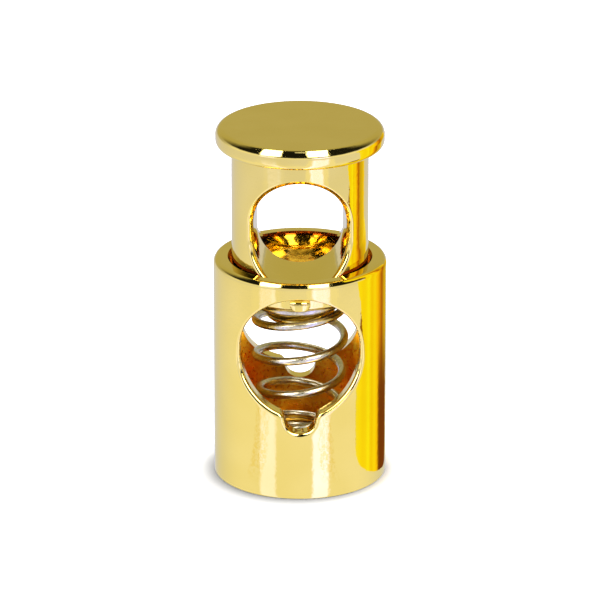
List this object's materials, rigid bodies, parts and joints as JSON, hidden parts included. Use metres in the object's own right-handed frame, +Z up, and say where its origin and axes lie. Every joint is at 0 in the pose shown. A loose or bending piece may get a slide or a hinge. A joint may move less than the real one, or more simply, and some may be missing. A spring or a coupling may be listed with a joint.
{
  "type": "cord lock",
  "caption": "Spring-loaded barrel cord lock: a capped plunger with a cord eye slides in a round barrel with front and back windows.",
  "frame": {"origin": "centre of the barrel's flat base, which the lock stands on", "axes": "+Z up along the barrel and plunger, the cord runs along Y, the front with the stop pin faces -Y"},
  "size_m": [0.013, 0.013, 0.0274],
  "materials": {
    "gold_plate": "bright gold plating, mirror polished",
    "spring_steel": "bare drawn spring wire"
  },
  "bodies": {
    "barrel": {"barrel": "gold_plate", "spring": "spring_steel"},
    "plunger": {"plunger": "gold_plate", "stop_pin": "gold_plate"}
  },
  "joints": [
    {"name": "plunger_slide", "type": "slide", "parent": "barrel", "child": "plunger", "axis": [0, 0, -1], "range_m": [0, 0.00875], "stiffness_N_per_m": 1200, "springref_m": -0.004, "deforming": ["spring"]}
  ]
}
